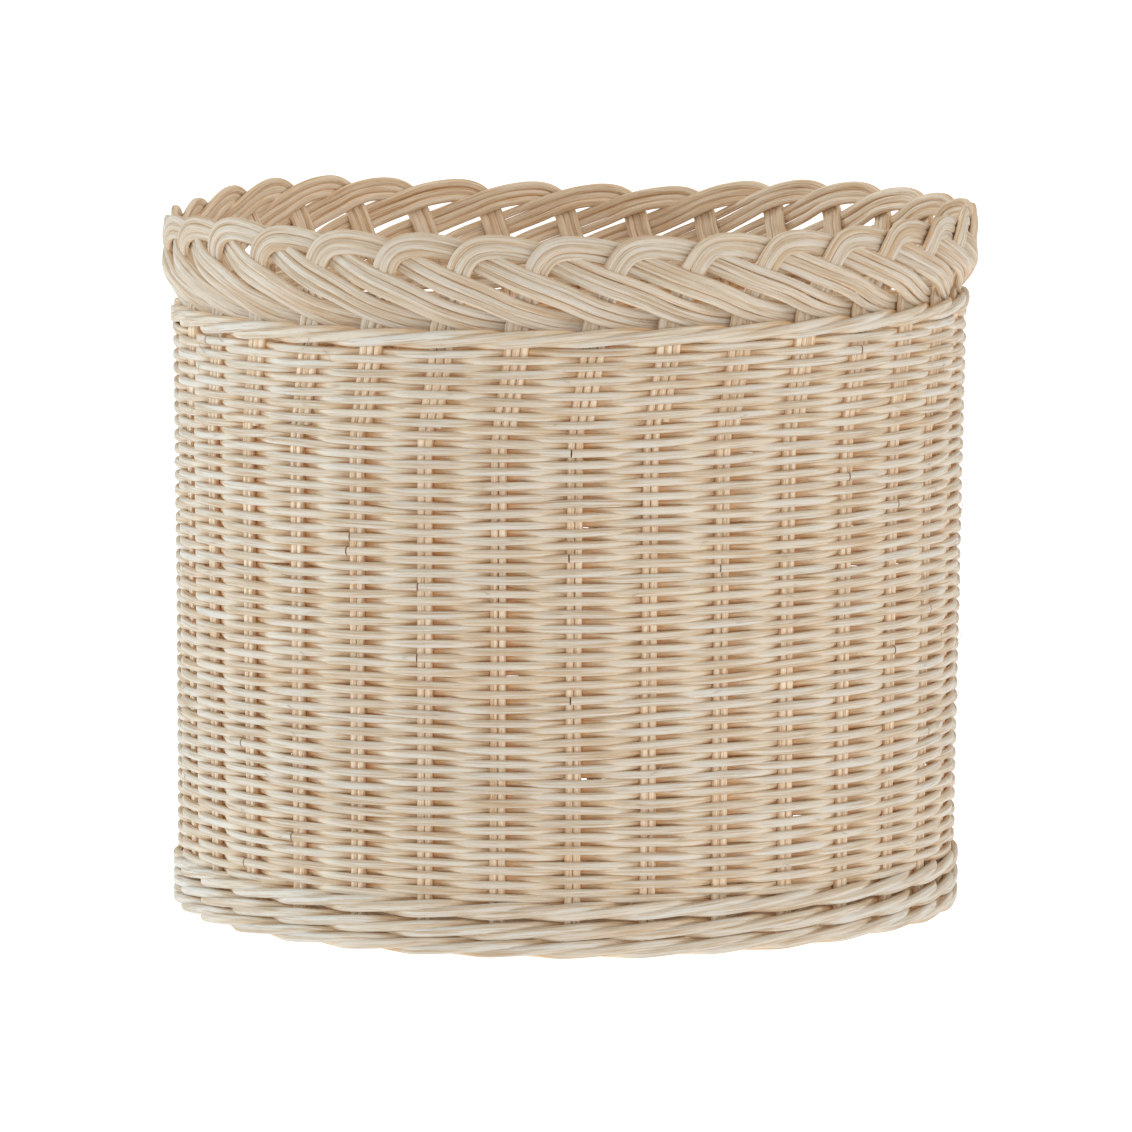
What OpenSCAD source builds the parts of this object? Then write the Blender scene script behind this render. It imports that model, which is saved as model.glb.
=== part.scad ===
// Round wastebasket woven from peeled rattan rods.
// Millimetres, +Z up. The origin is on the floor, in the middle of the foot.
// Stakes stand in groups round a circle. Side weavers pass in front of one group and
// behind the next, wales of three rods close the foot and the top of the side, and the
// tops of each stake group bend over to make one band of the looped border.

/* [Body] */
// Height from the floor to the top of the border loops
total_h = 257; // [220:1:300]
// Outer diameter of the side weave at the foot
weave_foot_d = 287.6; // [250:0.2:320]
// Outer diameter of the side weave under the border
weave_top_d = 292.2; // [250:0.2:324]
// Height of the looped border
border_h = 33.4; // [30:0.2:38]
// How far the border stands out past the stakes
border_flare = 4.8; // [3:0.1:6]

/* [Rods] */
// Thickness of the stakes and of the side weavers
rod_d = 2.4; // [2.2:0.1:2.6]
// Thickness of the wale rods
wale_rod_d = 3; // [2.8:0.1:3.1]
// Thickness of the sticks in the base
stick_t = 3; // [2.5:0.1:3.5]
// Thickness of the woven skins on both sides of the base sticks
base_skin_t = 2.4; // [2:0.1:2.6]

/* [Weave] */
// Stake groups round the basket: odd, so that weavers alternate, and in threes for the wales
stations = 33; // [27, 33]
// Side weavers, one above the other
side_weavers = 16; // [12:1:16]
// Turns that each side weaver makes
weaver_turns = 5; // [4:1:5]
// Rounds of wale at the foot
foot_rounds = 3; // [2:1:3]
// Height of one round of wale
wale_pitch = 6.25; // [6.2:0.05:7]
// How far the first stake group stands to the right of the front
first_station = 1; // [0:0.5:10]
// How far the stakes lean to the right between the floor and the border
lean = 4; // [0:0.5:6]

/* [Hidden] */
pad = 0.08;                                   // gap between pieces that lie on each other
station_angle = 360 / stations;
seam_station = floor(stations / 2);           // at the back, where weavers step up a row
weave_out = rod_d + pad * 3;                  // from the stake circle to a weaver's middle
stake_foot_r = weave_foot_d / 2 - weave_out - rod_d / 2;
stake_top_r = weave_top_d / 2 - weave_out - rod_d / 2;
foot_h = foot_rounds * wale_pitch;
side_top_z = total_h - border_h - wale_pitch;
border_z = total_h - border_h;                // where the stakes leave the wale
rows = side_weavers * weaver_turns;
row_pitch = (side_top_z - foot_h) / rows;
wale_out = (rod_d + wale_rod_d) / 2 + pad;    // from the stake circle to a wale rod's middle
wale_side = wale_rod_d / 2 / cos(30);         // corner radius of the six-sided wale rods
base_r = stake_foot_r - wale_out - wale_side - 0.4;
skin_z = 1.6;                                 // underside of the base above the floor
stick_z = skin_z + base_skin_t + pad;
cross_half = 26;                              // half the width of the crossed sticks
sticks = 6;                                   // sticks in each direction
stick_w = 4;
stick_gap = 0.4;
stick_fan = 180 / (2 * sticks);               // angle between neighbouring stick ends
stake_step = rod_d + 0.4;                     // from one rod of a stake group to the next
extra_rows = 12;                              // rows that the short extra stakes reach down

// Middle line of a border band, from the foot of its stake group to its tucked end:
// [stake spacings along the rim, height above the border's foot, step outwards].
band_path = [
    [0.00, 0.2, 0.3], [0.05, 6, -1.3], [0.11, 12, -1.3], [0.16, 16.5, -0.9],
    [0.21, 21, 0.8], [0.28, 25, 1.3], [0.38, 28, 1.1], [0.52, 29.7, 0.7],
    [0.70, 30, 0.2], [0.92, 29.2, -0.5], [1.12, 27.9, -1.1], [1.32, 25.6, -1.3],
    [1.52, 22.6, -1.0], [1.75, 19.2, 0.4], [2.05, 15.2, 1.5], [2.55, 10.6, 1.5],
    [3.00, 7.3, 1.2], [3.45, 5, -0.6], [3.80, 4, -2.6], [4.10, 3.8, -2.9]
];
band_path_h = 33.4;                           // border height that band_path is drawn for
band_w = 6.4;
band_t = 2.2;

function two(n) = n < 10 ? str("0", n) : str(n);
function weaver_name(i) = str("side_weaver_", two(i + 1));
function group_name(i) = str("stake_group_", two(i + 1));
function foot_name(i) = str("foot_wale_rod_", i + 1);
function top_name(i) = str("top_wale_rod_", i + 1);

// Angle of station i at height z, counted to the right from the front; i can be a fraction.
function station(i, z) = -90 + first_station + i * station_angle
    + lean * z / border_z / stake_top_r * 180 / PI;
// Radius of the stake circle at height z.
function stake_r(z) = stake_foot_r
    + (stake_top_r - stake_foot_r) * (z - foot_h) / (side_top_z - foot_h);
function polar(r, a) = [r * cos(a), r * sin(a)];
function round_point(r, a, z) = [r * cos(a), r * sin(a), z];
function even(n) = n % 2 == 0;

// Closed skin over rings of points that all have the same number of corners.
module sweep(rings) {
    n = len(rings[0]);
    last = len(rings) - 1;
    polyhedron(
        points = [for (ring = rings) for (p = ring) p],
        faces = concat(
            [[for (c = [0:n - 1]) c]],
            [for (k = [0:last - 1]) for (c = [0:n - 1])
                [k * n + c, (k + 1) * n + c, (k + 1) * n + (c + 1) % n, k * n + (c + 1) % n]],
            [[for (c = [n - 1:-1:0]) last * n + c]]
        )
    );
}

// One turn of a side weaver, from the seam round to the seam again.
module weaver_turn(row) {
    z = foot_h + row * row_pitch;
    r = stake_r(z);
    mid = [for (j = [0:stations]) r + (even(j + row) ? weave_out : -weave_out)];
    angle = [for (j = [0:stations]) station(seam_station + j, z)];
    outer = [for (j = [0:stations]) polar(mid[j] + rod_d / 2, angle[j])];
    inner = [for (j = [stations:-1:0]) polar(mid[j] - rod_d / 2, angle[j])];
    translate([0, 0, z]) linear_extrude(row_pitch - pad) polygon(concat(outer, inner));
}

// Where a turn has come back to the seam, it steps up to the row above.
module weaver_step(row) {
    z = foot_h + row * row_pitch;
    r = stake_r(z) + (even(stations + row) ? weave_out : -weave_out);
    inset = 0.3;                              // keeps its faces clear of the two turns' faces
    thick = rod_d - 2 * inset;
    rotate(station(seam_station, z + row_pitch / 2))
        translate([r - thick / 2, -rod_d / 2, z + inset])
            cube([thick, rod_d, 2 * row_pitch - pad - 2 * inset]);
}

module side_weaver(i) {
    first = i * weaver_turns;
    color("burlywood") {
        for (k = [0:weaver_turns - 1]) weaver_turn(first + k);
        for (k = [0:weaver_turns - 2]) weaver_step(first + k);
    }
}

// A straight rod in the side, set off along the wall from its station by `along`.
module wall_rod(i, along, z_low, z_high) {
    ends = [for (z = [z_low, z_high])
        round_point(stake_r(z), station(i, z) + along / stake_r(z) * 180 / PI, z)];
    way = ends[1] - ends[0];
    translate(ends[0])
        rotate([0, acos(way[2] / norm(way)), atan2(way[1], way[0])])
            cylinder(h = norm(way), d = rod_d);
}

// Radius of the middle of the border at a height above its foot.
function border_r(h) = stake_top_r
    + border_flare * (1 - cos(180 * min(1, max(0, h) / 14))) / 2;

// Direction of the band at point k: along the rim and up, both in millimetres.
function band_mm(k) = [
    band_path[k][0] * station_angle * PI / 180 * stake_top_r,
    band_path[k][1] * border_h / band_path_h
];
function band_direction(k) = let (
    a = band_mm(max(0, k - 1)),
    b = band_mm(min(len(band_path) - 1, k + 1))
) (b - a) / norm(b - a);

// The three rods of a group side by side, bent over as one flat band.
module border_band(i) {
    sweep([for (k = [0:len(band_path) - 1]) let (
        at = band_mm(k) + [stake_step / 2, 0],
        along = band_direction(k),
        mid_r = border_r(at[1]) + band_path[k][2]
    ) [for (corner = [[-1, -1], [1, -1], [1, 1], [-1, 1]]) let (
        s = at[0] - along[1] * corner[0] * band_w / 2,
        h = at[1] + along[0] * corner[0] * band_w / 2 * (k == 0 ? 0 : 1),
        r = mid_r + corner[1] * band_t / 2
    ) round_point(r, station(i, border_z) + s / stake_top_r * 180 / PI, border_z + h)]]);
}

// Two stakes, the short extra stake beside them and their band of the border.
module stake_group(i) {
    extra_z = side_top_z - extra_rows * row_pitch;
    color("wheat") {
        for (side = [-0.5, 0.5]) wall_rod(i, side * stake_step, skin_z, border_z - pad);
        wall_rod(i, 1.5 * stake_step, extra_z, border_z - pad);
        border_band(i);
    }
}

// Points of a wale rod. It passes behind one group, then in front of two, rising as it
// goes, and changes sides between groups: [stations, step outwards, step up]. The lowest
// round is flat underneath where it comes out, which is what the basket stands on.
wale_beat = [[0, -1, 0], [0.5, 0, -1], [1, 1, -1], [2, 1, 1], [2.5, 0, 1]];
wale_lift = (wale_pitch - wale_rod_d) / 2;

module wale_rod(start, z_low, rounds) {
    beats = stations / 3 * rounds;
    steps = [for (b = [0:beats - 1]) for (p = wale_beat) [p[0] + b * 3, p[1], p[2]]];
    sweep([for (p = steps) let (
        turn = floor(p[0] / stations),
        z = z_low + (turn + 0.5) * wale_pitch + p[2] * wale_lift,
        r = stake_r(z) + p[1] * wale_out
    ) [for (c = [0:5])
        round_point(r + wale_side * cos(60 * c), station(seam_station + start + p[0], z),
            z + wale_side * sin(60 * c))]]);
}

module foot_wale_rod(i) { color("tan") wale_rod(i, 0, foot_rounds); }
module top_wale_rod(i) { color("tan") wale_rod(i, side_top_z, 1); }

// Sticks that lie side by side across the middle and fan out to the edge of the base.
// The outline of one arm of stick i, along +X.
function stick_arm(i) = let (
    off = i - (sticks - 1) / 2,
    y = off * (stick_w + stick_gap),
    a = off * stick_fan * 0.98,
    across = stick_w / 2
) [
    [cross_half - 4, y - across], [cross_half, y - across],
    polar(base_r, a) + across * [sin(a), -cos(a)],
    polar(base_r, a) + across * [-sin(a), cos(a)],
    [cross_half, y + across], [cross_half - 4, y + across]
];

module stick_row(lift) {
    for (i = [0:sticks - 1]) {
        y = (i - (sticks - 1) / 2) * (stick_w + stick_gap);
        for (side = [0, 180]) rotate(side)
            translate([0, 0, stick_z]) linear_extrude(stick_t) polygon(stick_arm(i));
        translate([-cross_half, y - stick_w / 2, stick_z + lift])
            cube([2 * cross_half, stick_w, stick_t]);
        if (lift > 0) for (x = [-cross_half, cross_half - 4])
            translate([x, y - stick_w / 2, stick_z]) cube([4, stick_w, stick_t + lift]);
    }
}

module base_sticks_lower() { color("peru") stick_row(0); }
module base_sticks_upper() { color("peru") rotate(90) stick_row(stick_t + pad); }

// The weave of the base, as one skin below the sticks and one above them.
module base_weave() {
    color("burlywood") for (z = [skin_z, stick_z + stick_t + pad])
        translate([0, 0, z]) difference() {
            cylinder(h = base_skin_t, r = base_r);
            translate([0, 0, -1]) cylinder(h = base_skin_t + 2, r = cross_half + 3, $fn = 12);
        }
}

for (i = [0:stations - 1]) stake_group(i);
for (i = [0:side_weavers - 1]) side_weaver(i);
for (i = [0:2]) foot_wale_rod(i);
for (i = [0:2]) top_wale_rod(i);
base_sticks_lower();
base_sticks_upper();
base_weave();
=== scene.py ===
"""A round wastebasket woven from peeled rattan rods.

Every rod of the weave is a strand of its own, swept along the path that it takes round
the stakes. All sizes are in metres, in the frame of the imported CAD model.
"""
import math

import bpy
import numpy as np
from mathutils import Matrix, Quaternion, Vector


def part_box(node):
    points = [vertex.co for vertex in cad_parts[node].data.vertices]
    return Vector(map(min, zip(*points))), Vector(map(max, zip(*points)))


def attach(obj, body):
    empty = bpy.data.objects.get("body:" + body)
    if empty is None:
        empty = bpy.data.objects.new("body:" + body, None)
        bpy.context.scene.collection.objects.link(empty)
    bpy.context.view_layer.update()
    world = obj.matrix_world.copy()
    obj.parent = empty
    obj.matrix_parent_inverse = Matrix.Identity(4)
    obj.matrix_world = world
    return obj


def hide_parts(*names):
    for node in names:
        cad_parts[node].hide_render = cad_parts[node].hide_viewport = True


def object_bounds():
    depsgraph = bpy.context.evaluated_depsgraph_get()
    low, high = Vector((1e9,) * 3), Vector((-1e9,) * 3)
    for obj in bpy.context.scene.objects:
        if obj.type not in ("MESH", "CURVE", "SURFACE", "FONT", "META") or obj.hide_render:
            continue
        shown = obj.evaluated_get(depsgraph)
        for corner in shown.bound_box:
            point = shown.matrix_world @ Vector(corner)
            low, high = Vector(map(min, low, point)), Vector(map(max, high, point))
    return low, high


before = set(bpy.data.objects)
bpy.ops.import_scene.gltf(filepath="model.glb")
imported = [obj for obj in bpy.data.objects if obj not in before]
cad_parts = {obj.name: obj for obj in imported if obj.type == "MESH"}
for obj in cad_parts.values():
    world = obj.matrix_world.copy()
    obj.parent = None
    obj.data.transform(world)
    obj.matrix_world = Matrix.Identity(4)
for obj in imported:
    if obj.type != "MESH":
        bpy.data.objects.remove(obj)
cad_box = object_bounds()

MM = 0.001
rng = np.random.default_rng(33)


# ---------------------------------------------------------------- sizes from the frame

def node_names(start):
    return sorted(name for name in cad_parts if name.startswith(start))


def half_width(node):
    low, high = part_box(node)
    return (high[0] - low[0]) / 2


STAKE_GROUPS = node_names("stake_group_")
SIDE_WEAVERS = node_names("side_weaver_")
FOOT_RODS = node_names("foot_wale_rod_")
TOP_RODS = node_names("top_wale_rod_")

STATIONS = len(STAKE_GROUPS)
TURNS = 5                                    # turns that each side weaver makes
FOOT_ROUNDS = 3
SIDE_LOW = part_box(SIDE_WEAVERS[0])[0][2]     # where the side weave begins
SIDE_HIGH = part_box(TOP_RODS[0])[0][2]        # where the top wale begins
BORDER_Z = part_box(TOP_RODS[0])[1][2]         # where the stakes leave the top wale
WALE_PITCH = BORDER_Z - SIDE_HIGH
ROW_PITCH = (SIDE_HIGH - SIDE_LOW) / (len(SIDE_WEAVERS) * TURNS + 1)
BASE_LOW, BASE_HIGH = (corner[2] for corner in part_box("base_weave"))
BASE_R = half_width("base_weave")

WEAVE_HALF = 3.84 * MM                       # half the thickness of the woven side
STAKE_FOOT_R = half_width(SIDE_WEAVERS[0]) - WEAVE_HALF
STAKE_TOP_R = half_width(SIDE_WEAVERS[-1]) - WEAVE_HALF

STAKE_R = 1.25 * MM                          # radius of a stake
STAKE_STEP = 2.95 * MM                       # from one rod of a group to the next
WEAVER_OUT = 1.25 * MM                       # radius of a weaver, square to the side
WEAVER_UP = 1.52 * MM                        # the same, up the side
WALE_R = 1.55 * MM                           # radius of a wale rod, square to the side
WALE_UP = 1.85 * MM                          # the same, up the side
HAIR_R = 0.11 * MM                           # radius of a loose fibre
EXTRA_ROWS = 12                              # rows that the short extra stakes reach down

FIRST_STATION = math.radians(1)              # the first group stands just right of the front
SEAM = STATIONS // 2                         # the group at the back where rounds begin
LEAN = 4.9 * MM                              # lean of the stakes under the border
LEAN_ROWS = EXTRA_ROWS + 4                   # rows over which they take up that lean
FOOT_TILT = 0.9 * MM                         # rise of the foot from its left side to the middle
ROW_TILT = 2.2 * MM                          # extra rise of the rows above the foot
RIM_TILT = -2.5 * MM                         # the rim takes that rise back
LEFT_SAG = 4.2 * MM                          # sag of the rim at the left
RIM_Z = cad_box[1][2]


def smooth(x, low, high):
    """0 below low, 1 above high, and an S-curve between them."""
    t = np.clip((np.asarray(x, float) - low) / (high - low), 0, 1)
    return t * t * (3 - 2 * t)


def stake_radius(z):
    return STAKE_FOOT_R + (STAKE_TOP_R - STAKE_FOOT_R) * (z - SIDE_LOW) / (SIDE_HIGH - SIDE_LOW)


def station_angle(index, z):
    """Angle of a stake group at height z. The groups are counted to the right from the front."""
    lean = LEAN / STAKE_TOP_R * smooth(z, SIDE_HIGH - LEAN_ROWS * ROW_PITCH, BORDER_Z)
    return -math.pi / 2 + FIRST_STATION + np.asarray(index) * 2 * math.pi / STATIONS + lean


def settle(points):
    """A hand-made basket is never quite true: it is a little out of round, its foot and its
    rows run uphill to the right, and its rim dips at the front and sags at the left."""
    x, y, z = points[:, 0], points[:, 1], points[:, 2]
    angle = np.arctan2(y, x)
    r = np.hypot(x, y)
    swell = (0.5 * np.sin(2 * angle + 0.6) + 0.35 * np.sin(3 * angle + 2.1)) * MM
    swell = swell * smooth(z, 0.01, 0.12)
    belly = -0.5 * MM * np.sin(math.pi * np.clip(z / RIM_Z, 0, 1))
    stretch = 1 + np.where(r > 0.1, (swell + belly) / np.maximum(r, 0.1), 0)
    slant = FOOT_TILT + ROW_TILT * smooth(z, 0.015, 0.10) \
        + RIM_TILT * smooth(z, SIDE_HIGH - 0.01, RIM_Z)
    uphill = FOOT_TILT + slant * np.cos(angle)
    wall_top = smooth(z, SIDE_HIGH - 0.03, RIM_Z)
    at_back = smooth(np.sin(angle), 0.3, 0.75)
    dip = MM * np.cos(2 * angle) - MM * at_back * np.cos(angle) \
        + 2.0 * MM * at_back * (1 - 1.7 * smooth(np.sin(angle), 0.8, 1.0))
    at_left = np.exp(-((np.mod(angle, 2 * math.pi) - math.pi) / 0.4) ** 2)
    sag = -LEFT_SAG * at_left * smooth(z, BORDER_Z, RIM_Z)
    return np.column_stack([x * stretch, y * stretch, z + uphill + dip * wall_top + sag])


def ring_points(r, angle, z):
    return np.column_stack([r * np.cos(angle), r * np.sin(angle), z])


def spline(keys, count):
    """A smooth open curve through the key points, as count points evenly spread over them."""
    keys = np.asarray(keys, float)
    padded = np.vstack([2 * keys[0] - keys[1], keys, 2 * keys[-1] - keys[-2]])
    t = np.linspace(0, len(keys) - 1 - 1e-9, count)
    k = t.astype(int)
    u = (t - k)[:, None]
    a, b, c, d = (padded[k + i] for i in range(4))
    return 0.5 * (2 * b + (c - a) * u + (2 * a - 5 * b + 4 * c - d) * u ** 2
                  + (3 * b - a - 3 * c + d) * u ** 3)


def even_spacing(points, step):
    """The same curve with its points step apart."""
    length = np.concatenate([[0], np.cumsum(np.linalg.norm(np.diff(points, axis=0), axis=1))])
    wanted = np.linspace(0, length[-1], max(int(length[-1] / step), 4))
    return np.column_stack([np.interp(wanted, length, points[:, c]) for c in range(3)])


def periodic_table(keys, period, blur):
    """A smooth periodic function through (position, value) keys."""
    count = 600
    x = np.arange(count) * period / count
    positions, values = zip(*keys)
    y = np.interp(x, positions, values)
    reach = np.arange(-60, 61)
    weight = np.exp(-0.5 * (reach * period / count / blur) ** 2)
    weight /= weight.sum()
    y = sum(w * np.roll(y, -int(k)) for k, w in zip(reach, weight))
    return lambda t: np.interp(np.mod(t, period), np.append(x, period), np.append(y, y[0]))


def wander(count, size, knots):
    """A slow random wander with about `knots` bends over count points."""
    keys = rng.normal(0, size, max(int(knots), 2) + 2)
    return np.interp(np.linspace(0, len(keys) - 1, count), np.arange(len(keys)), keys)


# ---------------------------------------------------------------- strands

FLATTEN = 0.72                               # below 1, rods are a little flattened by the weave


class Strands:
    """Collects swept strands and turns them into one mesh object.

    Each point of a strand carries its place along and around the rod (fibre), the rod's own
    tint (tone), how far painted shade is lifted from it, which makes it pale where it faces
    out of the weave (bare), how much a painted lit cream brightens it (clean) and whether it
    is a cut end (cut)."""

    def __init__(self):
        self.points, self.fibre = [], []
        self.tone, self.bare, self.clean, self.cut = [], [], [], []
        self.quads, self.caps = [], []
        self.count = 0

    def add(self, path, out, radius_out, radius_side, sides=12, tone=None, proud=1.0, edge=0.58,
            inside=0, clean=0, cut=False):
        """Sweeps an oval along path. radius_out lies along the direction out. proud says how
        far each point of the path stands out of the weave, from 0 to 1; where it is low the rod
        gets painted shade. edge says how much painted shade is lifted from the flanks of the
        rod, and inside how much is lifted from the side that faces into the basket."""
        n = len(path)
        along = np.gradient(path, axis=0)
        along /= np.linalg.norm(along, axis=1)[:, None]
        side = np.cross(along, out)
        side /= np.linalg.norm(side, axis=1)[:, None]
        out = np.cross(side, along)
        angle = np.arange(sides) * 2 * math.pi / sides
        radius_out = np.broadcast_to(radius_out, n)[:, None, None]
        radius_side = np.broadcast_to(radius_side, n)[:, None, None]
        proud = np.broadcast_to(proud, n)[:, None]
        cos, sin = np.cos(angle), np.sin(angle)
        flat_cos, flat_sin = (np.sign(v) * np.abs(v) ** FLATTEN for v in (cos, sin))
        rings = (path[:, None, :] + radius_out * flat_cos[None, :, None] * out[:, None, :]
                 + radius_side * flat_sin[None, :, None] * side[:, None, :])
        length = np.concatenate([[0], np.cumsum(np.linalg.norm(np.diff(path, axis=0), axis=1))])
        fibre = np.empty((n, sides, 3))
        fibre[:, :, 0] = (length + rng.uniform(0, 50))[:, None]
        fibre[:, :, 1] = cos[None, :]
        fibre[:, :, 2] = sin[None, :]
        # Painted light and shade: the face turned out of the weave is painted pale, and the flanks,
        # the sunken stretches and the inward side get painted shade, lifted as far as edge, proud and
        # inside say.
        edge = np.broadcast_to(edge, n)[:, None]
        facing = edge + (1 - edge) * np.clip(cos, 0, 1)[None, :]
        outer = proud * np.where(cos[None, :] > -0.2, facing, 0)
        inner = np.maximum(0.4 * (1 - proud), inside) * np.clip(-cos, 0, 1)[None, :]
        near_end = np.minimum(length, length[-1] - length) < 0.02 * MM
        tone = rng.uniform() if tone is None else tone
        k = np.arange(n - 1)[:, None] * sides
        s = np.arange(sides)[None, :]
        nxt = (s + 1) % sides
        quads = np.stack([k + s, k + nxt, k + sides + nxt, k + sides + s], axis=-1)
        self.quads.append(quads.reshape(-1, 4) + self.count)
        self.caps.append(self.count + np.arange(sides)[::-1])
        self.caps.append(self.count + (n - 1) * sides + np.arange(sides))
        self.points.append(rings.reshape(-1, 3))
        self.fibre.append(fibre.reshape(-1, 3))
        self.tone.append(np.full(n * sides, tone))
        self.bare.append((outer + inner).ravel())
        self.clean.append(np.repeat(np.broadcast_to(clean, n), sides))
        self.cut.append(np.repeat(near_end * float(cut), sides))
        self.count += n * sides

    def build(self, name, material, replaces):
        points = settle(np.concatenate(self.points))
        quads = np.concatenate(self.quads)
        mesh = bpy.data.meshes.new(name)
        corner_count = quads.size + sum(len(cap) for cap in self.caps)
        mesh.vertices.add(len(points))
        mesh.vertices.foreach_set("co", points.astype(np.float32).ravel())
        mesh.loops.add(corner_count)
        corners = np.concatenate([quads.ravel(), *self.caps]).astype(np.int32)
        mesh.loops.foreach_set("vertex_index", corners)
        sizes = np.concatenate([np.full(len(quads), 4), [len(cap) for cap in self.caps]])
        starts = np.concatenate([[0], np.cumsum(sizes)[:-1]]).astype(np.int32)
        mesh.polygons.add(len(sizes))
        mesh.polygons.foreach_set("loop_start", starts)
        mesh.update(calc_edges=True)
        mesh.validate()
        mesh.shade_smooth()
        mesh.set_sharp_from_angle(angle=math.radians(55))
        fibre = mesh.attributes.new("fibre", "FLOAT_VECTOR", "POINT")
        fibre.data.foreach_set("vector", np.concatenate(self.fibre).astype(np.float32).ravel())
        for label, values in (("tone", self.tone), ("bare", self.bare),
                              ("clean", self.clean), ("cut", self.cut)):
            shade = mesh.attributes.new(label, "FLOAT", "POINT")
            shade.data.foreach_set("value", np.concatenate(values).astype(np.float32))
        mesh.materials.append(material)
        piece = bpy.data.objects.new(name, mesh)
        bpy.context.scene.collection.objects.link(piece)
        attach(piece, "root")
        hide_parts(*replaces)
        return piece


def radial(path):
    """Directions away from the middle of the basket, for each point of path."""
    out = path * [1, 1, 0]
    return out / np.linalg.norm(out, axis=1)[:, None]


# ---------------------------------------------------------------- materials

def rattan(name, pale, warm, shade_honey, roughness):
    """Peeled rattan with painted light and shade: pale where it stands proud and faces out of
    the weave, a painted honey shade where it is sheltered, a painted deep orange shade in the
    deepest recesses and a painted lit cream on the stakes in the wall, with long fibres, slow
    colour changes, small brown specks and dark cut ends."""
    material = bpy.data.materials.new(name)
    material.use_nodes = True
    nodes, links = material.node_tree.nodes, material.node_tree.links
    shader = nodes["Principled BSDF"]
    shader.inputs["Specular IOR Level"].default_value = 0.5
    shader.inputs["Sheen Weight"].default_value = 0.06

    def node(kind, **values):
        made = nodes.new(kind)
        for key, value in values.items():
            setattr(made, key, value)
        return made

    def attribute(label, socket="Fac"):
        return node("ShaderNodeAttribute", attribute_name=label).outputs[socket]

    def noise(scale, detail, rough=0.55):
        """Noise along the fibre: scale is per metre along the rod and per radius across it."""
        stretch = node("ShaderNodeMapping")
        stretch.inputs["Scale"].default_value = scale
        links.new(fibre, stretch.inputs["Vector"])
        made = node("ShaderNodeTexNoise", noise_dimensions="4D")
        made.inputs["Scale"].default_value = 1
        made.inputs["Detail"].default_value = detail
        made.inputs["Roughness"].default_value = rough
        links.new(stretch.outputs["Vector"], made.inputs["Vector"])
        links.new(seed.outputs["Value"], made.inputs["W"])
        return made.outputs["Fac"]

    def span(value, low, high, to_low=0.0, to_high=1.0):
        made = node("ShaderNodeMapRange")
        for socket, number in (("From Min", low), ("From Max", high),
                               ("To Min", to_low), ("To Max", to_high)):
            made.inputs[socket].default_value = number
        links.new(value, made.inputs["Value"])
        return made.outputs["Result"]

    def mix(share, first, second, blend="MIX"):
        made = node("ShaderNodeMix", data_type="RGBA", blend_type=blend)
        for socket, value in (("Factor", share), ("A", first), ("B", second)):
            target = next(s for s in made.inputs if s.name == socket and s.enabled)
            if isinstance(value, tuple):
                target.default_value = value
            else:
                links.new(value, target)
        return next(s for s in made.outputs if s.enabled)

    fibre = attribute("fibre", "Vector")
    tone = attribute("tone")
    seed = node("ShaderNodeMath", operation="MULTIPLY")
    seed.inputs[1].default_value = 37.0
    links.new(tone, seed.inputs[0])

    drift = noise((16, 0.25, 0.25), 3)
    streaks = noise((24, 1.5, 1.5), 3, 0.6)
    hairlines = noise((50, 3.6, 3.6), 3, 0.65)
    specks = noise((420, 2.2, 2.2), 2)

    colour = mix(span(tone, 0.25, 1, 0.0, 0.75), pale, warm)
    colour = mix(span(drift, 0.45, 0.75, 0, 0.7), colour, warm)
    # Painted light: the stakes in the wall are painted a lighter cream so that they look lit in their
    # recess.
    colour = mix(attribute("clean"), colour, PAINTED_LIT_CREAM)
    # Painted shade: a saturated honey where the rod faces away or sinks into the weave, and a deep
    # orange where it is deepest.
    colour = mix(span(attribute("bare"), 0.05, 0.92, 0.95, 0.0), colour, shade_honey)
    colour = mix(span(attribute("bare"), 0.0, 0.25, 1.0, 0.0), colour, DEEP_SHADE_ORANGE)
    colour = mix(span(streaks, 0.48, 0.62, 0, 0.9), colour, (0.83, 0.70, 0.55, 1), "MULTIPLY")
    colour = mix(span(hairlines, 0.50, 0.60, 0, 0.9), colour, (0.80, 0.67, 0.52, 1), "MULTIPLY")
    colour = mix(span(specks, 0.74, 0.79, 0, 0.5), colour, (0.34, 0.19, 0.09, 1))
    colour = mix(attribute("cut"), colour, (0.36, 0.22, 0.11, 1))
    links.new(colour, shader.inputs["Base Color"])
    links.new(span(streaks, 0.3, 0.7, roughness - 0.08, roughness + 0.14),
              shader.inputs["Roughness"])

    ridges = node("ShaderNodeMath", operation="ADD")
    links.new(streaks, ridges.inputs[0])
    links.new(hairlines, ridges.inputs[1])
    bump = node("ShaderNodeBump")
    bump.inputs["Strength"].default_value = 0.8
    bump.inputs["Distance"].default_value = 0.45 * MM
    links.new(ridges.outputs["Value"], bump.inputs["Height"])
    links.new(bump.outputs["Normal"], shader.inputs["Normal"])
    return material


PALE = (0.615, 0.588, 0.538, 1)
WARM = (0.63, 0.55, 0.445, 1)
# Painted shade colours (honey, deep orange) and the painted lit cream of the stakes in the wall.
SHADE_HONEY = (0.99, 0.765, 0.50, 1)
PAINTED_LIT_CREAM = (0.97, 0.87, 0.72, 1)
DEEP_SHADE_ORANGE = (0.98, 0.66, 0.38, 1)
# Painted light: the base rattan is painted lighter than the rest, against the shade inside the
# basket.
BASE_LIT_PALE = (0.72, 0.66, 0.565, 1)
BASE_LIT_WARM = (0.76, 0.65, 0.52, 1)
STAKE_PALE = (0.53, 0.497, 0.443, 1)
STAKE_WARM = (0.555, 0.475, 0.38, 1)
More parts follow.
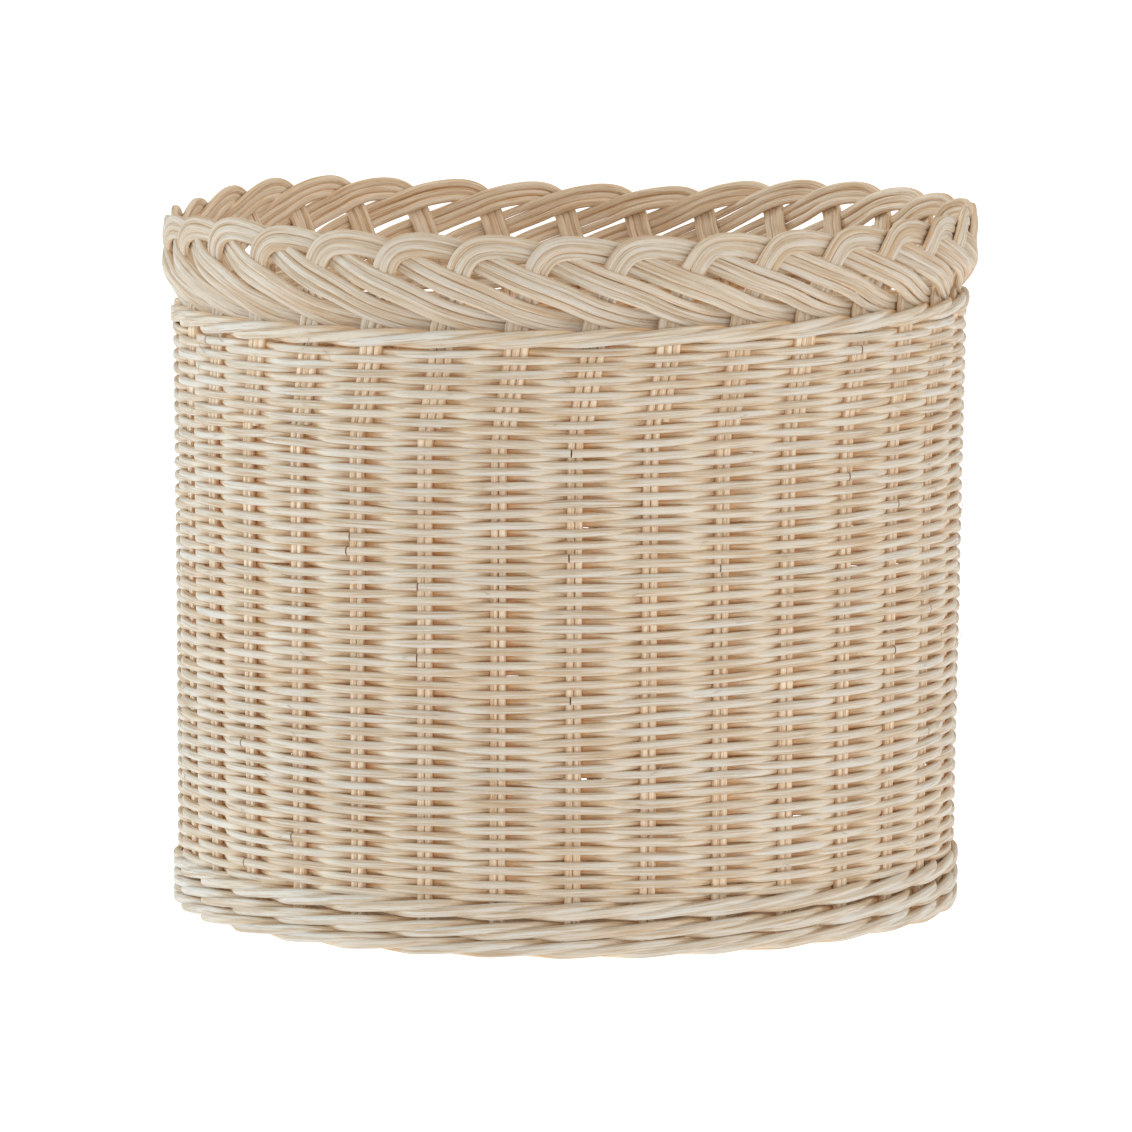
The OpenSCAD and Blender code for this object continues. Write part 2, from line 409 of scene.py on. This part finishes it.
# Painted shade colour for the stakes' sheltered flanks.
STAKE_SHADE_HONEY = (1.0, 0.81, 0.60, 1)
WEAVER_RATTAN = rattan("weaver_rattan", PALE, WARM, SHADE_HONEY, 0.5)
STAKE_RATTAN = rattan("stake_rattan", STAKE_PALE, STAKE_WARM, STAKE_SHADE_HONEY, 0.5)
WALE_RATTAN = rattan("wale_rattan", PALE, WARM, SHADE_HONEY, 0.5)
LIGHTENED_BASE_RATTAN = rattan("base_rattan", BASE_LIT_PALE, BASE_LIT_WARM, SHADE_HONEY, 0.55)


# ---------------------------------------------------------------- the side weave

# How far out a weaver is over two stations: 1 in front of a group, -1 behind the next.
# It sinks slowly, dives in just left of the group that it passes behind, and comes out fast.
weave_wave = periodic_table(
    [(0, 1), (0.22, 0.97), (0.42, 0.84), (0.62, 0.62), (0.76, 0.26), (0.86, -0.5), (0.94, -1),
     (1.08, -1), (1.20, -0.76), (1.33, -0.22), (1.46, 0.40), (1.60, 0.78), (1.80, 0.98), (2, 1)],
    2, 0.035)
WEAVE_OUT = STAKE_R + WEAVER_OUT
JOINTS = 3                                   # joints between real rods in each weaver node
JOINT_GAP = 0.008                            # gap at a joint, as a share of a station
TIP = 0.006                                  # length of the blunt tip of a rod, likewise
TIP_LIFT = 0.12 * MM                         # how far a tip springs out
KICK = 0.19 * MM                             # unevenness of the rows at each station

# Rows undulate a little, and neighbours do it together.
swell_angles = rng.uniform(0, 2 * math.pi, 4)


def row_swell(index, row):
    turn = 2 * math.pi * index / STATIONS
    return 0.45 * MM * (np.sin(2 * turn + row / 9 + swell_angles[0])
                        + 0.7 * np.sin(5 * turn - row / 6 + swell_angles[1])
                        + 0.5 * np.sin(9 * turn + row / 4 + swell_angles[2]))


def add_loose_fibre(strands, path, place):
    """A hair split from a rod: it starts on the outer side of the rod and curls away."""
    along = path[place + 1] - path[place]
    along *= rng.choice((-1, 1)) / np.linalg.norm(along)
    out = radial(path)[place]
    t = np.linspace(0, 1, 6)[:, None]
    curl = np.array([0, 0, rng.uniform(-0.8, 0.8)])
    hair = path[place] + out * WEAVER_OUT * 0.9 \
        + rng.uniform(2.5, 5.5) * MM * (along * t + curl * t ** 2 + out * 0.22 * t)
    strands.add(hair, np.tile(out, (len(hair), 1)), HAIR_R, HAIR_R, sides=4)


def weave_side():
    per_station = 14
    stretch = STATIONS * TURNS
    kicks = rng.standard_t(4, stretch * len(SIDE_WEAVERS) + 2).clip(-3.5, 3.5) * KICK
    for number, node in enumerate(SIDE_WEAVERS):
        strands = Strands()
        start = number * stretch
        # each node's five turns are real rods, butted together in front of the left-hand stake
        joints = start + stretch * (np.arange(JOINTS) + rng.uniform(0.15, 0.85, JOINTS)) / JOINTS
        joints = 2 * np.round(joints / 2) - 0.05 + rng.normal(0, 0.02, JOINTS)
        ends = [start, *joints, start + stretch]
        for first, last in zip(ends[:-1], ends[1:]):
            gap = JOINT_GAP if last != ends[-1] else 0
            t = np.linspace(first + TIP, last - gap - TIP, int((last - first) * per_station))
            t = np.concatenate([[first], t, [last - gap]])
            row = t / STATIONS
            z = SIDE_LOW + ROW_PITCH * (row + 0.55)
            z = z + row_swell(SEAM + t, row) * smooth(z, SIDE_LOW, SIDE_LOW + 0.02) \
                * (1 - smooth(z, SIDE_HIGH - 0.02, SIDE_HIGH))
            z = z + np.interp(t, np.arange(len(kicks)), kicks)
            wave = weave_wave(t)
            thick = 1 + wander(len(t), 0.035, (last - first) / 3)
            lifted = TIP_LIFT * (np.exp(-(t - first) / 0.04) + np.exp(-(last - t) / 0.04))
            r = stake_radius(z) + wave * WEAVE_OUT + lifted
            path = ring_points(r, station_angle(SEAM + t, z), z)
            # Painted shade follows the weave: proud falls where the weaver dives behind a group, and
            # there the rod is painted honey and deep orange.
            strands.add(path, radial(path), WEAVER_OUT * thick,
                        WEAVER_UP * thick * (0.95 + 0.05 * np.abs(wave)),
                        proud=0.5 + 0.5 * wave, cut=True)
            for place in rng.choice(np.flatnonzero(wave > 0.8), 3):
                add_loose_fibre(strands, path, place)
        strands.build(node.replace("side_", "woven_"), WEAVER_RATTAN, [node])


# ---------------------------------------------------------------- the wales

# A wale rod passes behind one group and in front of two, over three stations.
wale_wave = periodic_table(
    [(0, -1), (0.16, -0.95), (0.5, -0.15), (0.8, 0.8), (1.05, 1), (1.95, 1), (2.25, 0.85),
     (2.55, 0.1), (2.72, -0.65), (2.86, -1), (3, -1)], 3, 0.06)
# It comes out low, rises as it passes in front and goes in high.
wale_climb = periodic_table(
    [(0, 0), (0.4, -0.95), (0.9, -1), (1.5, -0.15), (2.1, 0.9), (2.6, 1), (2.8, 0.7), (3, 0)],
    3, 0.08)
WALE_OUT = STAKE_R + WALE_R
WALE_LIFT = 1.62 * MM
STEP_UP = 1.3                                # stations over which a round climbs to the next


def weave_wale(nodes, z_low, rounds, out_extra, climb_from, climb_to):
    """Rounds of three-rod wale. The last round climbs with the weave that it meets."""
    per_station = 12
    for number, node in enumerate(nodes):
        strands = Strands()
        stretch = STATIONS * rounds
        t = np.linspace(0, stretch, stretch * per_station)
        turn = np.floor(t / STATIONS - 1e-9).clip(0)
        climb = smooth(np.mod(t, STATIONS), STATIONS - STEP_UP, STATIONS)
        level = np.minimum(turn + np.where(turn < rounds - 1, climb, 0), rounds - 1)
        z = z_low + WALE_PITCH * (level + 0.5) + wale_climb(t) * WALE_LIFT
        last_round = np.clip(t / STATIONS - (rounds - 1), 0, 1)
        meets = smooth(t / STATIONS, rounds - 1.2, rounds - 1) if rounds > 1 else 1
        z = z + meets * (climb_from + (climb_to - climb_from) * last_round)
        z = z + wander(len(t), 0.1 * MM, stretch / 2)
        r = stake_radius(z) + wale_wave(t) * WALE_OUT + out_extra * smooth(wale_wave(t), 0, 1)
        thick = WALE_R * (1 + wander(len(t), 0.02, stretch / 5))
        path = ring_points(r, station_angle(SEAM + number + t, z), z)
        # Painted shade follows the wave, and most of it is lifted from the flanks and from the side
        # turned into the basket.
        strands.add(path, radial(path), thick, thick * WALE_UP / WALE_R,
                    proud=0.5 + 0.5 * wale_wave(t), edge=0.72, inside=0.6)
        strands.build(node + "_rattan", WALE_RATTAN, [node])


# ---------------------------------------------------------------- stakes and border

# Middle line of a border band: [stake spacings along the rim, height above the border's
# foot, step outwards], the last two in millimetres.
BAND_PATH = [
    (0.00, 0.2, 0.2), (0.05, 6, -1.3), (0.11, 12, -1.3), (0.16, 16.5, -0.8),
    (0.21, 21, 0.9), (0.28, 24.6, 1.5), (0.38, 27.4, 1.3), (0.52, 29.0, 0.8),
    (0.70, 29.4, 0.2), (0.92, 28.8, -0.6), (1.12, 27.7, -1.2), (1.32, 26.0, -1.4),
    (1.52, 23.6, -1.0), (1.75, 20.8, 0.4), (2.05, 17.2, 1.5), (2.55, 11.9, 1.6),
    (3.00, 6.6, 1.2), (3.45, 2.7, -0.5), (3.80, 0.9, -2.5), (4.10, 0.3, -3.1),
]
BORDER_FLARE = 4.8 * MM
BAND_STEP = 2.78 * MM                        # from one rod of a band to the next, in its loop
STATION_STEP = 2 * math.pi * STAKE_TOP_R / STATIONS


def border_radius(height):
    return STAKE_TOP_R + BORDER_FLARE * smooth(height, 0, 14 * MM)


def band_rod(place, lift, shift):
    """One rod of a band in (along the rim, height, step outwards). place is 1 for the outer
    rod of the loop, 0 for the middle one and -1 for the inner one."""
    line = spline([(s * STATION_STEP, h * MM * lift, out * MM) for s, h, out in BAND_PATH], 150)
    line[:, 0] += STAKE_STEP / 2 + shift * smooth(line[:, 1], 0, 15 * MM)
    way = np.gradient(line[:, :2], axis=0)
    way /= np.linalg.norm(way, axis=1)[:, None]
    count = len(line)
    stations = line[:, 0] / STATION_STEP
    wider = 1 + 0.10 * smooth(stations, 1.2, 1.8)
    spread = place * BAND_STEP * wider * (1 + wander(count, 0.04, 5)) + wander(count, 0.1 * MM, 6)
    rod = line.copy()
    rod[:, 0] -= way[:, 1] * spread
    rod[:, 1] += way[:, 0] * spread
    rod[:, 2] += wander(count, 0.15 * MM, 6) - 0.25 * MM * abs(place)
    rod[:, 1] = np.maximum(rod[:, 1], -0.8 * MM)
    return rod


def stakes_and_border():
    for index, node in enumerate(STAKE_GROUPS):
        strands = Strands()
        lift = 1 + rng.normal(0, 0.015)
        shift = rng.normal(1.4 * MM, 0.6 * MM)
        for rod, place in enumerate((1, 0, -1)):
            along = (rod - 0.5) * STAKE_STEP
            band = band_rod(place, lift, shift)
            if rod < 2:
                # a stake turns in under the foot wale and ends in the base
                low = [(along, -14 * MM, 5.6 * MM), (along, -6 * MM, 5.8 * MM),
                       (along, -2.4 * MM, 6.0 * MM), (along, -0.7 * MM, 6.9 * MM),
                       (along, -0.1 * MM, 8.8 * MM)]
                wall_low = 11 * MM
            else:
                low = []
                wall_low = SIDE_HIGH - (EXTRA_ROWS + rng.uniform(-1, 1.5)) * ROW_PITCH
            heights = np.arange(wall_low, BORDER_Z - 2 * MM, 3 * MM)
            keys = [*low, *((along, 0, z) for z in heights)]
            wall = spline(keys, len(keys) * 2)
            across = np.concatenate([wall[:, 0], band[:, 0]])
            out = np.concatenate([wall[:, 1], band[:, 2]])
            z = np.concatenate([wall[:, 2], band[:, 1] + BORDER_Z])
            r = np.where(z > BORDER_Z, border_radius(z - BORDER_Z), stake_radius(z)) + out
            path = ring_points(r, station_angle(index, z) + across / stake_radius(z), z)
            path = even_spacing(path, 1.5 * MM)
            thick = STAKE_R * (1 + wander(len(path), 0.02, 8))
            rising = np.arange(len(path)) < np.argmax(path[:, 2])
            in_wall = rising * (1 - smooth(path[:, 2], SIDE_HIGH + 1 * MM, BORDER_Z + 2 * MM))
            # Painted light and shade: in the wall the stakes get the painted lit cream and keep more
            # painted shade on their flanks.
            strands.add(path, radial(path), thick, thick * (1.26 - 0.10 * in_wall),
                        proud=0.85 + 0.15 * in_wall, edge=0.34 - 0.16 * in_wall,
                        inside=0.36, clean=in_wall)
        strands.build(node.replace("stake_group", "stakes_and_band"), STAKE_RATTAN,
                      [node])


# ---------------------------------------------------------------- the base

STICKS = 6
STICK_R = 1.55 * MM
STICK_STEP = 4.4 * MM
STICK_FAN = math.radians(15) * 0.98
CROSS_HALF = 26 * MM
STICK_LIFT = 3.2 * MM                        # the upper sticks cross over the lower ones
TIE_HALF = 14.8 * MM                         # half the width of the first square round
TIE_ROUNDS = 7
BASE_MID = (BASE_LOW + BASE_HIGH) / 2
BASE_UNDERSIDE_LIT = 0.7                              # how far the painted shade is lifted from the underside of the base


def stick_line(number, lift):
    """Middle line of one base stick along X, with its ends fanned out."""
    off = number - (STICKS - 1) / 2
    end_x, end_y = BASE_R * math.cos(off * STICK_FAN), BASE_R * math.sin(off * STICK_FAN)
    near = CROSS_HALF + 2 * MM
    half = [(0, lift), (0.7 * near, lift), (near, lift * 0.8), (1.25 * near, 0)]
    keys = []
    for x, rise in half:
        share = max(0.0, (x - near) / (end_x - near))
        keys.append((x, off * STICK_STEP * (1 - share) + end_y * share, rise))
    for share in (0.5, 0.75, 1.0):
        keys.append((near + (end_x - near) * share,
                     off * STICK_STEP * (1 - share) + end_y * share, 0))
    mirrored = [(-x, y, rise) for x, y, rise in keys[:0:-1]]
    return spline([*mirrored, *keys], 90)


def base_sticks(node, quarter_turn, lift):
    strands = Strands()
    for number in range(STICKS):
        line = stick_line(number, lift)
        if quarter_turn:
            line = np.column_stack([-line[:, 1], line[:, 0], line[:, 2]])
        line[:, 2] += BASE_MID
        strands.add(line, np.tile([0.0, 0, 1], (len(line), 1)), STICK_R, STICK_R * 1.2,
                    inside=BASE_UNDERSIDE_LIT)
    strands.build(node.replace("base_", "rattan_"), LIGHTENED_BASE_RATTAN, [node])


def spoke_angles(r):
    """Angles of the 24 stick ends where they cross a circle of radius r."""
    near = CROSS_HALF + 2 * MM
    angles = []
    for number in range(STICKS):
        off = number - (STICKS - 1) / 2
        end_x, end_y = BASE_R * math.cos(off * STICK_FAN), BASE_R * math.sin(off * STICK_FAN)
        share = np.linspace(0, 1, 40)
        x = near + (end_x - near) * share
        y = off * STICK_STEP * (1 - share) + end_y * share
        angles.append(float(np.interp(r, np.hypot(x, y), np.arctan2(y, x))))
    return np.array([a + quarter * math.pi / 2 for quarter in range(4) for a in angles])


def upper_lift(r):
    """How far the upper sticks are above the lower ones, at radius r."""
    return STICK_LIFT * float(smooth(r, 36 * MM, 18 * MM))


def tie_cross(strands, strand_r, ring_step):
    """Square rounds that bind the cross before the sticks fan out: three over the lower
    sticks and under the upper ones, three the other way, and one more like the first."""
    theta = np.linspace(0, 2 * math.pi, 180)
    clear = STICK_R + strand_r
    for k in range(TIE_ROUNDS):
        half = TIE_HALF + k * ring_step
        corner = 8 - 5.5 * k / (TIE_ROUNDS - 1)
        r = half / (np.abs(np.cos(theta)) ** corner + np.abs(np.sin(theta)) ** corner) ** (1 / corner)
        way = -1 if 3 <= k < 6 else 1
        at_lower, at_upper = way * clear, upper_lift(half) - way * clear
        share = 0.5 + 0.5 * np.tanh(3 * np.cos(2 * theta))
        z = BASE_MID + at_upper + (at_lower - at_upper) * share
        path = ring_points(r, theta, z)
        strands.add(path, np.tile([0.0, 0, 1], (len(path), 1)), strand_r, strand_r, sides=8,
                    inside=BASE_UNDERSIDE_LIT)


def base_weave():
    """Two strands chase each other round the sticks, over one and under the next."""
    strand_r = 1.2 * MM
    tie_step = 2.42 * MM
    first_r = TIE_HALF + TIE_ROUNDS * tie_step
    last_r = STAKE_FOOT_R - 2.2 * MM
    rings = round((last_r - first_r) / tie_step / 2) + 2    # with a level turn at each end
    ring_step = (last_r - first_r) / (2 * rings - 3)
    strands = Strands()
    tie_cross(strands, strand_r, tie_step)
    points_per_ring = 24 * 8
    for chaser in (0, 1):
        turn = np.linspace(0, rings, rings * points_per_ring)
        r = np.clip(first_r + ring_step * (2 * turn + chaser - 2), first_r, last_r)
        theta = 2 * math.pi * turn
        phase = np.empty(len(turn))
        for k in range(rings):
            here = (turn >= k) & (turn <= k + 1)
            spokes = spoke_angles(float(r[here].mean()))
            spokes = np.concatenate([spokes[-2:] - 2 * math.pi, spokes, spokes[:2] + 2 * math.pi])
            inside = np.mod(theta[here], 2 * math.pi)
            phase[here] = np.interp(inside, spokes, np.arange(-2, len(spokes) - 2))
        z = BASE_MID + (STICK_R + strand_r) * np.cos(math.pi * (phase + chaser))
        path = ring_points(r, theta, z)
        strands.add(path, np.tile([0.0, 0, 1], (len(path), 1)), strand_r, strand_r * 1.2,
                    sides=8, inside=BASE_UNDERSIDE_LIT)
    strands.build("rattan_base_weave", LIGHTENED_BASE_RATTAN, ["base_weave"])


# ---------------------------------------------------------------- floor, light and camera

def plain_material(name, colour, roughness):
    material = bpy.data.materials.new(name)
    material.use_nodes = True
    shader = material.node_tree.nodes["Principled BSDF"]
    shader.inputs["Base Color"].default_value = colour
    shader.inputs["Roughness"].default_value = roughness
    return material


def floor():
    size = 30
    mesh = bpy.data.meshes.new("floor")
    mesh.from_pydata([(-size, -size, 0), (size, -size, 0), (size, size, 0), (-size, size, 0)],
                     [], [(0, 1, 2, 3)])
    material = plain_material("pale_floor", (0.45, 0.45, 0.45, 1), 0.7)
    shader = material.node_tree.nodes["Principled BSDF"]
    shader.inputs["Emission Color"].default_value = (1, 1, 1, 1)
    shader.inputs["Emission Strength"].default_value = 0.92
    mesh.materials.append(material)
    piece = bpy.data.objects.new("floor", mesh)
    bpy.context.scene.collection.objects.link(piece)


def turn_toward(thing, place, target, roll=0.0):
    """Puts a light or the camera at place, looking at target."""
    look = (Vector(target) - Vector(place)).to_track_quat("-Z", "Y")
    thing.location = place
    thing.rotation_euler = (look @ Quaternion((0, 0, 1), roll)).to_euler()


def soft_sun(name, place, strength, colour, softness):
    """A large distant soft light."""
    data = bpy.data.lights.new(name, "SUN")
    data.angle = math.radians(softness)
    data.energy = strength
    data.color = colour
    light = bpy.data.objects.new(name, data)
    turn_toward(light, place, (0, 0, RIM_Z / 2))
    bpy.context.scene.collection.objects.link(light)


def studio():
    """A soft white tent with wide soft lights in front, on the left, where it is cooler, and
    on the right."""
    world = bpy.data.worlds.new("studio")
    world.use_nodes = True
    background = world.node_tree.nodes["Background"]
    background.inputs["Color"].default_value = (1, 0.97, 0.91, 1)
    background.inputs["Strength"].default_value = 0.68
    bpy.context.scene.world = world
    soft_sun("front", (-0.35, -3.0, 0.75), 0.27, (1, 0.985, 0.95), 24)
    soft_sun("left", (-3.0, 0.5, 0.7), 1.27, (0.70, 0.89, 1.0), 22)
    soft_sun("right", (2.6, -1.2, 0.9), 0.64, (1, 0.98, 0.94), 50)


CAMERA_DISTANCE = 2.95
CAMERA_HEIGHT = 0.465
CAMERA_AIM = 0.1243
CAMERA_ROLL = math.radians(0.35)
CAMERA_LENS = 256.2


def camera():
    data = bpy.data.cameras.new("camera")
    data.lens = CAMERA_LENS
    data.sensor_width = 36
    data.clip_end = 100
    made = bpy.data.objects.new("camera", data)
    turn_toward(made, (0, -CAMERA_DISTANCE, CAMERA_HEIGHT), (-0.55 * MM, 0, CAMERA_AIM),
                CAMERA_ROLL)
    bpy.context.scene.collection.objects.link(made)
    bpy.context.scene.camera = made


weave_side()
weave_wale(FOOT_RODS, 0.6 * MM, FOOT_ROUNDS, 1.0 * MM, 0.0, 0.8 * ROW_PITCH)
weave_wale(TOP_RODS, SIDE_HIGH + 0.9 * MM, 1, 0.2 * MM, -0.9 * ROW_PITCH, 0.0)
stakes_and_border()
base_sticks("base_sticks_lower", False, 0.0)
base_sticks("base_sticks_upper", True, STICK_LIFT)
base_weave()
floor()
studio()
camera()
bpy.context.scene.view_settings.view_transform = "Standard"
